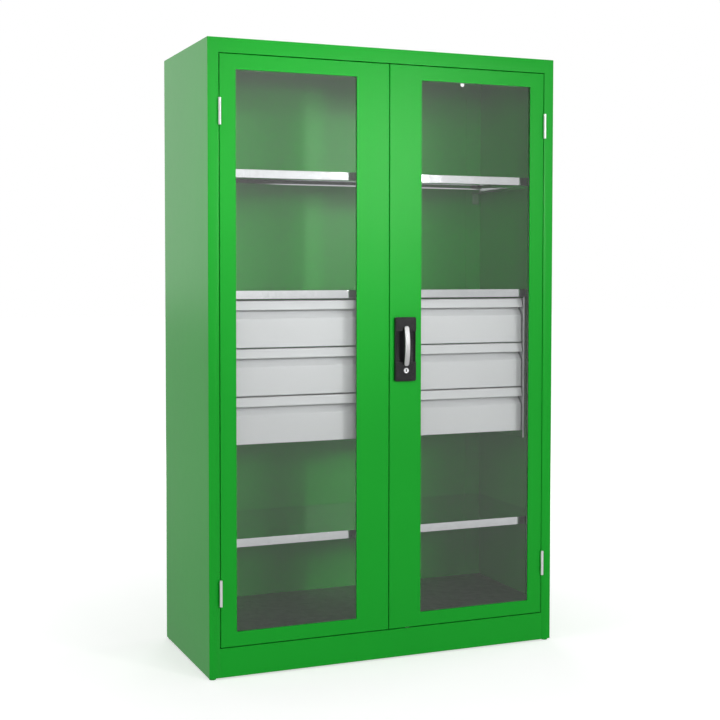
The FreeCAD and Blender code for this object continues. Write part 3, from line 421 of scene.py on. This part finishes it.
def mark_keyway_shade(mesh):
    """Marks the faces of the lock plug that lie inside its keyway, which the plate's finish paints dark as
    shade.
    """
    low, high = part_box("lock_cylinder")
    axis = (low + high) / 2
    marks = mesh.attributes.new("keyway", "FLOAT", "FACE")
    for face in mesh.polygons:
        aside = math.hypot(face.center.x - axis.x, face.center.z - axis.z)
        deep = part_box("lock_plug")[0].y + KEYWAY_DEPTH < face.center.y < high.y
        marks.data[face.index].value = 1.0 if deep and aside < KEYWAY_REACH else 0.0


def mark_matt_front(mesh):
    """Marks the faces of a zinc piece that look forward as matt, like a rubbed edge."""
    marks = mesh.attributes.new("matt", "FLOAT", "FACE")
    for face in mesh.polygons:
        marks.data[face.index].value = 1.0 if face.normal.y < LOOKS_FORWARD else 0.0


# The faces inside the plug's keyway get painted shade.
mark_keyway_shade(bpy.data.objects["lock_plug_rounded"].data)
rubbed_sheet = rubbed_zinc("rubbed_galvanised_sheet", *SHEET_ZINC)
for side in ("left", "right"):
    plates = bpy.data.objects[f"{side}_bank_plates_rounded"].data
    mark_matt_front(plates)
    plates.materials[0] = rubbed_sheet


# Small parts that repeat: nuts on the window studs, rivets in the drawer trays, weld marks on the back.

THREAD_SHOWN = 0.0012
SHOULDER_SHARE = 0.53


def new_tree(name, sizes):
    """A geometry tree with a mesh of places as its first input and a named input for each size."""
    tree = bpy.data.node_groups.new(name, "GeometryNodeTree")
    tree.interface.new_socket(name="Places", in_out="INPUT", socket_type="NodeSocketGeometry")
    for size in sizes:
        tree.interface.new_socket(name=size, in_out="INPUT", socket_type="NodeSocketFloat")
    tree.interface.new_socket(name="Parts", in_out="OUTPUT", socket_type="NodeSocketGeometry")
    return tree, tree.nodes.new("NodeGroupInput"), tree.nodes.new("NodeGroupOutput")


def worked_out(tree, first, second, operation):
    """A size from two others."""
    made = add_node(tree, "ShaderNodeMath", operation=operation)
    for socket, value in zip(made.inputs, (first, second)):
        if isinstance(value, (int, float)):
            socket.default_value = value
        else:
            tree.links.new(value, socket)
    return made.outputs[0]


def turned_disc(tree, sides, low_radius, high_radius, height, start=None):
    """A short round or many-sided block on the tree's Z axis, from a start height upwards."""
    block = add_node(tree, "GeometryNodeMeshCone", {"Vertices": sides})
    for name, value in (("Radius Bottom", low_radius), ("Radius Top", high_radius), ("Depth", height)):
        tree.links.new(value, block.inputs[name])
    if start is None:
        return block.outputs["Mesh"]
    lift = add_node(tree, "ShaderNodeCombineXYZ")
    tree.links.new(start, lift.inputs["Z"])
    moved = add_node(tree, "GeometryNodeTransform")
    tree.links.new(block.outputs["Mesh"], moved.inputs["Geometry"])
    tree.links.new(lift.outputs["Vector"], moved.inputs["Translation"])
    return moved.outputs["Geometry"]


def set_on_places(tree, inputs, outputs, blocks, turn, material):
    """Puts the joined blocks on every place, all turned one way or as a tree's turn says."""
    joined = tree.nodes.new("GeometryNodeJoinGeometry")
    for block in blocks:
        tree.links.new(block, joined.inputs["Geometry"])
    spread = tree.nodes.new("GeometryNodeInstanceOnPoints")
    if isinstance(turn, tuple):
        spread.inputs["Rotation"].default_value = turn
    else:
        tree.links.new(turn, spread.inputs["Rotation"])
    tree.links.new(inputs.outputs["Places"], spread.inputs["Points"])
    tree.links.new(joined.outputs["Geometry"], spread.inputs["Instance"])
    plain = tree.nodes.new("GeometryNodeRealizeInstances")
    tree.links.new(spread.outputs["Instances"], plain.inputs["Geometry"])
    painted = add_node(tree, "GeometryNodeSetMaterial", {"Material": material})
    tree.links.new(plain.outputs["Geometry"], painted.inputs["Geometry"])
    tree.links.new(painted.outputs["Geometry"], outputs.inputs["Parts"])


def nut_tree(turn, material):
    """A stud with a washer, a nut with a bevelled crown, and the stud's bevelled end."""
    sizes = ("Stud radius", "Stud length", "Nut radius", "Nut height", "Bevel", "Washer radius")
    tree, inputs, outputs = new_tree("window_nuts", sizes)
    stud, length, nut, height, bevel, washer = (inputs.outputs[size] for size in sizes)
    plain_height = worked_out(tree, height, bevel, "SUBTRACT")
    crown = worked_out(tree, nut, bevel, "SUBTRACT")
    thread_end = worked_out(tree, stud, bevel, "SUBTRACT")
    below = worked_out(tree, length, -1.0, "MULTIPLY")
    tip = worked_out(tree, height, THREAD_SHOWN, "ADD")
    reach = worked_out(tree, length, tip, "ADD")
    blocks = [
        turned_disc(tree, 16, stud, stud, reach, below),
        turned_disc(tree, 16, stud, thread_end, bevel, tip),
        turned_disc(tree, 24, washer, washer, bevel),
        turned_disc(tree, 6, nut, nut, plain_height),
        turned_disc(tree, 6, nut, crown, bevel, plain_height),
    ]
    set_on_places(tree, inputs, outputs, blocks, turn, material)
    return tree


def turned_inward(tree, middle):
    """A turn that faces each place across the piece, toward the upright plane at the middle."""
    place = add_node(tree, "ShaderNodeSeparateXYZ")
    tree.links.new(tree.nodes.new("GeometryNodeInputPosition").outputs["Position"], place.inputs["Vector"])
    side = worked_out(tree, worked_out(tree, middle, place.outputs["X"], "SUBTRACT"), 0.0, "SIGN")
    turn = add_node(tree, "ShaderNodeCombineXYZ")
    tree.links.new(worked_out(tree, side, math.radians(90), "MULTIPLY"), turn.inputs["Y"])
    return turn.outputs["Vector"]


def button_tree(name, sides, turn, material):
    """A low round button: a rivet head or a weld mark, turned one way or inward from both walls."""
    sizes = ("Radius", "Crown radius", "Height", "Middle")
    tree, inputs, outputs = new_tree(name, sizes)
    radius, crown, height, plane = (inputs.outputs[size] for size in sizes)
    if turn is None:
        turn = turned_inward(tree, plane)
    half = worked_out(tree, height, 0.5, "MULTIPLY")
    middle = worked_out(tree, worked_out(tree, radius, crown, "ADD"), SHOULDER_SHARE, "MULTIPLY")
    blocks = [
        turned_disc(tree, sides, radius, middle, half),
        turned_disc(tree, sides, middle, crown, half, half),
    ]
    set_on_places(tree, inputs, outputs, blocks, turn, material)
    return tree


def repeated(name, tree, places, sizes):
    """The parts of a tree at the given places, as one plain mesh."""
    seed = bpy.data.meshes.new(f"{name}_places")
    seed.from_pydata(places, [], [])
    carrier = bpy.data.objects.new(f"{name}_places", seed)
    bpy.context.scene.collection.objects.link(carrier)
    maker = carrier.modifiers.new("parts", "NODES")
    maker.node_group = tree
    for socket in tree.interface.items_tree:
        if socket.in_out == "INPUT" and socket.name in sizes:
            maker[socket.identifier] = sizes[socket.name]
    ready = carrier.evaluated_get(bpy.context.evaluated_depsgraph_get())
    mesh = bpy.data.meshes.new_from_object(ready)
    mesh.name = name
    carrier.modifiers.remove(maker)
    bpy.data.objects.remove(carrier)
    for face in mesh.polygons:
        face.use_smooth = True
    mesh.set_sharp_from_angle(angle=SMALL_SHARP_ANGLE)
    piece = bpy.data.objects.new(name, mesh)
    bpy.context.scene.collection.objects.link(piece)
    return piece


def loose_boxes(node):
    """The corner boxes of a node's separate pieces."""
    shell = merged_copy(node)
    left = set(shell.verts)
    boxes = []
    while left:
        group = [left.pop()]
        for vert in group:
            for edge in vert.link_edges:
                other = edge.other_vert(vert)
                if other in left:
                    left.remove(other)
                    group.append(other)
        boxes.append([Vector(pick(vert.co[k] for vert in group) for k in range(3)) for pick in (min, max)])
    shell.free()
    return boxes


FACING_BACK = (math.radians(-90), 0, 0)

NUT = {
    "Stud radius": 0.002,
    "Stud length": 0.0072,
    "Nut radius": 0.004,
    "Nut height": 0.0024,
    "Bevel": 0.0004,
    "Washer radius": 0.0048,
}
RIVET = {"Radius": 0.0035, "Crown radius": 0.0016, "Height": 0.0011}
WELD = {"Radius": 0.0034, "Crown radius": 0.0022, "Height": 0.0003}

nuts = nut_tree(FACING_BACK, FINISHES["plated_steel"])
for side in ("left", "right"):
    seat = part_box(f"{side}_window_retainer")[1].y
    studs = loose_boxes(f"{side}_window_fasteners")
    places = [((low.x + high.x) / 2, seat, (low.z + high.z) / 2) for low, high in studs]
    piece = repeated(f"{side}_window_nuts", nuts, places, NUT)
    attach(piece, f"{side}_door")
    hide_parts(f"{side}_window_fasteners")

TRAY_SHEET = 0.001
RIVET_SHARES = (0.16, 0.5, 0.84)
rivets = button_tree("tray_rivets", 12, None, FINISHES["plated_steel"])
for node in nodes:
    if not node.endswith("_tray"):
        continue
    low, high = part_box(node)
    slide_low, slide_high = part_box(node.replace("_tray", "_slides"))
    rise = (slide_low.z + slide_high.z) / 2
    depths = [low.y + (high.y - low.y) * share for share in RIVET_SHARES]
    walls = (low.x + TRAY_SHEET, high.x - TRAY_SHEET)
    places = [(wall, depth, rise) for wall in walls for depth in depths]
    piece = repeated(f"{node}_rivets", rivets, places, RIVET | {"Middle": (low.x + high.x) / 2})
    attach(piece, body_of[node])

REAR_FLANGE = 0.058
WELD_INSET = 0.016
WELD_END = 0.05
WELD_STEPS = 16
weld_marks = button_tree("weld_marks", 16, FACING_BACK, FINISHES["green_paint"])
low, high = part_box("left_side_panel")
weld_run = high.z - low.z - 2 * WELD_END
heights = [low.z + WELD_END + weld_run * step / (WELD_STEPS - 1) for step in range(WELD_STEPS)]
flange = abs(low.x) - REAR_FLANGE + WELD_INSET
places = [(side * flange, high.y, height) for side in (-1, 1) for height in heights]
piece = repeated("back_weld_marks", weld_marks, places, WELD)
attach(piece, "case")

replaced = set(FOLDED) | set(SOLID) | {"left_window_fasteners", "right_window_fasteners"}
for node, thing in nodes.items():
    if node not in replaced:
        coat(thing, slot_of[node])


# Studio: a white room, a pale floor, soft lamps and the camera.


def hang(lamp, place, aim, mirrored):
    """Puts a lamp at its place, aimed, out of the camera's sight, and mirrored in gloss or not."""
    thing = bpy.data.objects.new(lamp.name, lamp)
    thing.location = place
    thing.rotation_euler = (Vector(aim) - Vector(place)).to_track_quat("-Z", "Y").to_euler()
    thing.visible_glossy = mirrored
    thing.visible_camera = False
    bpy.context.scene.collection.objects.link(thing)


def soft_light(name, place, aim, width, height, power, mirrored=False):
    """A flat rectangular lamp, its size in metres and its power in watts."""
    lamp = bpy.data.lights.new(name, "AREA")
    lamp.shape = "RECTANGLE"
    lamp.size = width
    lamp.size_y = height
    lamp.energy = power
    hang(lamp, place, aim, mirrored)


def pool_light(name, place, aim, cone, radius, power):
    """A lamp with a soft round pool of light, its cone in degrees."""
    lamp = bpy.data.lights.new(name, "SPOT")
    lamp.spot_size = math.radians(cone)
    lamp.spot_blend = 1.0
    lamp.shadow_soft_size = radius
    lamp.energy = power
    hang(lamp, place, aim, False)


def scaled(tree, value, low, high, start, end):
    """A value run smoothly from start to end between two limits."""
    made = add_node(
        tree,
        "ShaderNodeMapRange",
        {"From Min": low, "From Max": high, "To Min": start, "To Max": end},
        interpolation_type="SMOOTHSTEP",
    )
    tree.links.new(value, made.inputs["Value"])
    return made.outputs["Result"]


def joined_values(tree, first, second, operation):
    """One value from two."""
    made = add_node(tree, "ShaderNodeMath", operation=operation)
    tree.links.new(first, made.inputs[0])
    tree.links.new(second, made.inputs[1])
    return made.outputs[0]


def background(tree, strength):
    """A white background of even strength, or of a strength that a tree works out."""
    made = add_node(tree, "ShaderNodeBackground", {"Color": (1, 1, 1, 1)})
    if isinstance(strength, float):
        made.inputs["Strength"].default_value = strength
    else:
        tree.links.new(strength, made.inputs["Strength"])
    return made.outputs["Background"]


def mixed_shader(tree, share, first, second):
    """A shader between two, by a share."""
    made = add_node(tree, "ShaderNodeMixShader")
    tree.links.new(share, made.inputs["Fac"])
    tree.links.new(first, made.inputs[1])
    tree.links.new(second, made.inputs[2])
    return made.outputs["Shader"]


def backdrop(glow):
    """A white room: white to look at, softly graded where it is mirrored, and weaker as a light."""
    world = bpy.data.worlds.new("studio_white")
    world.use_nodes = True
    tree = world.node_tree
    tree.nodes.remove(tree.nodes["Background"])
    path = add_node(tree, "ShaderNodeLightPath")
    way = add_node(tree, "ShaderNodeTexCoord").outputs["Generated"]
    split = add_node(tree, "ShaderNodeSeparateXYZ")
    tree.links.new(way, split.inputs["Vector"])
    toward = add_node(tree, "ShaderNodeVectorMath", operation="DOT_PRODUCT")
    toward.inputs[1].default_value = Vector(SOFT_PATCH["way"]).normalized()
    tree.links.new(way, toward.inputs[0])
    wall = scaled(tree, split.outputs["Z"], *ROOM_RISE)
    patch = scaled(tree, toward.outputs["Value"], SOFT_PATCH["rim"], 1.0, 0.0, SOFT_PATCH["strength"])
    mirrored = background(tree, joined_values(tree, wall, patch, "ADD"))
    straight, through = path.outputs["Is Camera Ray"], path.outputs["Is Transmission Ray"]
    eye = joined_values(tree, straight, through, "MAXIMUM")
    lit_or_mirrored = mixed_shader(tree, path.outputs["Is Glossy Ray"], background(tree, glow), mirrored)
    shown = mixed_shader(tree, eye, lit_or_mirrored, background(tree, 1.0))
    tree.links.new(shown, tree.nodes["World Output"].inputs["Surface"])
    bpy.context.scene.world = world


def studio_floor(size, lift, sheen):
    """A pale floor, lifted to white away from the cabinet, that takes its shadow, and that gloss mirrors
    as a glow made dimmer near the cabinet as painted shade.
    """
    material = bpy.data.materials.new("pale_floor")
    material.use_nodes = True
    tree = material.node_tree
    tree.nodes.remove(tree.nodes["Principled BSDF"])
    matt = add_node(tree, "ShaderNodeBsdfDiffuse", {"Color": (0.62, 0.62, 0.62, 1)})
    lifted = add_node(tree, "ShaderNodeEmission", {"Color": (1, 1, 1, 1)})
    even = add_node(tree, "ShaderNodeEmission", {"Color": (1, 1, 1, 1)})
    away = add_node(tree, "ShaderNodeVectorMath", operation="LENGTH")
    tree.links.new(add_node(tree, "ShaderNodeTexCoord").outputs["Object"], away.inputs[0])
    tree.links.new(scaled(tree, away.outputs["Value"], *FLOOR_FADE, *lift), lifted.inputs["Strength"])
    # The floor as gloss mirrors it is dimmer near the cabinet: painted shade.
    tree.links.new(scaled(tree, away.outputs["Value"], *FLOOR_FADE, *sheen), even.inputs["Strength"])
    white = add_node(tree, "ShaderNodeAddShader")
    path = add_node(tree, "ShaderNodeLightPath")
    tree.links.new(matt.outputs["BSDF"], white.inputs[0])
    tree.links.new(lifted.outputs["Emission"], white.inputs[1])
    seen = mixed_shader(tree, path.outputs["Is Camera Ray"], matt.outputs["BSDF"], white.outputs["Shader"])
    shown = mixed_shader(tree, path.outputs["Is Glossy Ray"], seen, even.outputs["Emission"])
    tree.links.new(shown, tree.nodes["Material Output"].inputs["Surface"])
    mesh = bpy.data.meshes.new("pale_floor")
    half = size / 2
    corners = [(-half, -half, 0), (half, -half, 0), (half, half, 0), (-half, half, 0)]
    mesh.from_pydata(corners, [], [(0, 1, 2, 3)])
    floor = bpy.data.objects.new("pale_floor", mesh)
    mesh.materials.append(material)
    bpy.context.scene.collection.objects.link(floor)


def photo_camera():
    """The camera at the photograph's viewing angle."""
    data = bpy.data.cameras.new("photo_camera")
    data.sensor_width = 36
    data.lens = 64.835
    data.shift_x = 0.05
    data.shift_y = -0.055
    camera = bpy.data.objects.new("photo_camera", data)
    camera.location = (-1.72964, -3.98967, 1.25)
    camera.rotation_euler = (math.radians(87.795), 0, math.radians(-21.854))
    bpy.context.scene.collection.objects.link(camera)
    bpy.context.scene.camera = camera


# A brighter patch of the room as the gloss mirrors it: its direction, the cosine at its rim, its strength.
SOFT_PATCH = {"way": (0.24, -0.95, 0.15), "rim": 0.955, "strength": 0.52}
# The mirrored room's strength grows between two rises of the line of sight.
ROOM_RISE = (-0.06, 0.14, 0.70, 0.80)
ROOM_GLOW = 0.26
# Distances from the cabinet's middle between which the floor's strengths change, near to far.
FLOOR_FADE = (0.8, 3.5)
FLOOR_SIZE = 60
FLOOR_LIFT = (0.52, 0.9)
# The floor's strength where gloss mirrors it, near to far; the lower near value is painted shade.
FLOOR_SHADED_SHEEN = (0.66, 0.78)

backdrop(ROOM_GLOW)
studio_floor(FLOOR_SIZE, FLOOR_LIFT, FLOOR_SHADED_SHEEN)
soft_light("front_softbox", (-1.7, -4.3, 1.9), (0.0, 0.0, 1.05), 4.0, 1.8, 36)
soft_light("right_softbox", (3.24, -8.6, 2.9), (0.0, 0.0, 1.05), 4.2, 0.9, 270)
soft_light("top_softbox", (-0.45, -1.9, 2.05), (-0.3, -0.2, 1.6), 0.8, 0.5, 6)
pool_light("rail_spot", (-0.6, -2.9, 1.7), (-0.18, -0.25, 1.5), 34, 0.15, 95)
pool_light("window_spot", (-2.6, -3.0, 1.8), (-0.28, -0.236, 1.6), 14, 0.2, 120)
soft_light("strip_light", (1.66, -3.85, 1.92), (0.0, -0.2, 1.5), 0.2, 0.8, 28, mirrored=True)
soft_light("left_softbox", (-4.0, -0.6, 2.4), (-0.6, 0.0, 1.0), 2.0, 2.2, 58)
soft_light("rim_softbox", (-1.95, 3.95, 2.0), (-0.6, 0.0, 1.2), 2.0, 2.0, 10, mirrored=True)
soft_light("back_softbox", (1.2, 4.6, 2.2), (0.0, 0.4, 1.0), 2.6, 2.0, 85)
soft_light("side_softbox", (3.2, 0.3, 1.9), (0.6, 0.0, 1.0), 1.4, 1.6, 24)
soft_light("roof_softbox", (0.0, 0.05, 3.1), (0.0, 0.0, 1.95), 1.0, 0.4, 8)
photo_camera()
bpy.context.scene.view_settings.view_transform = "Standard"
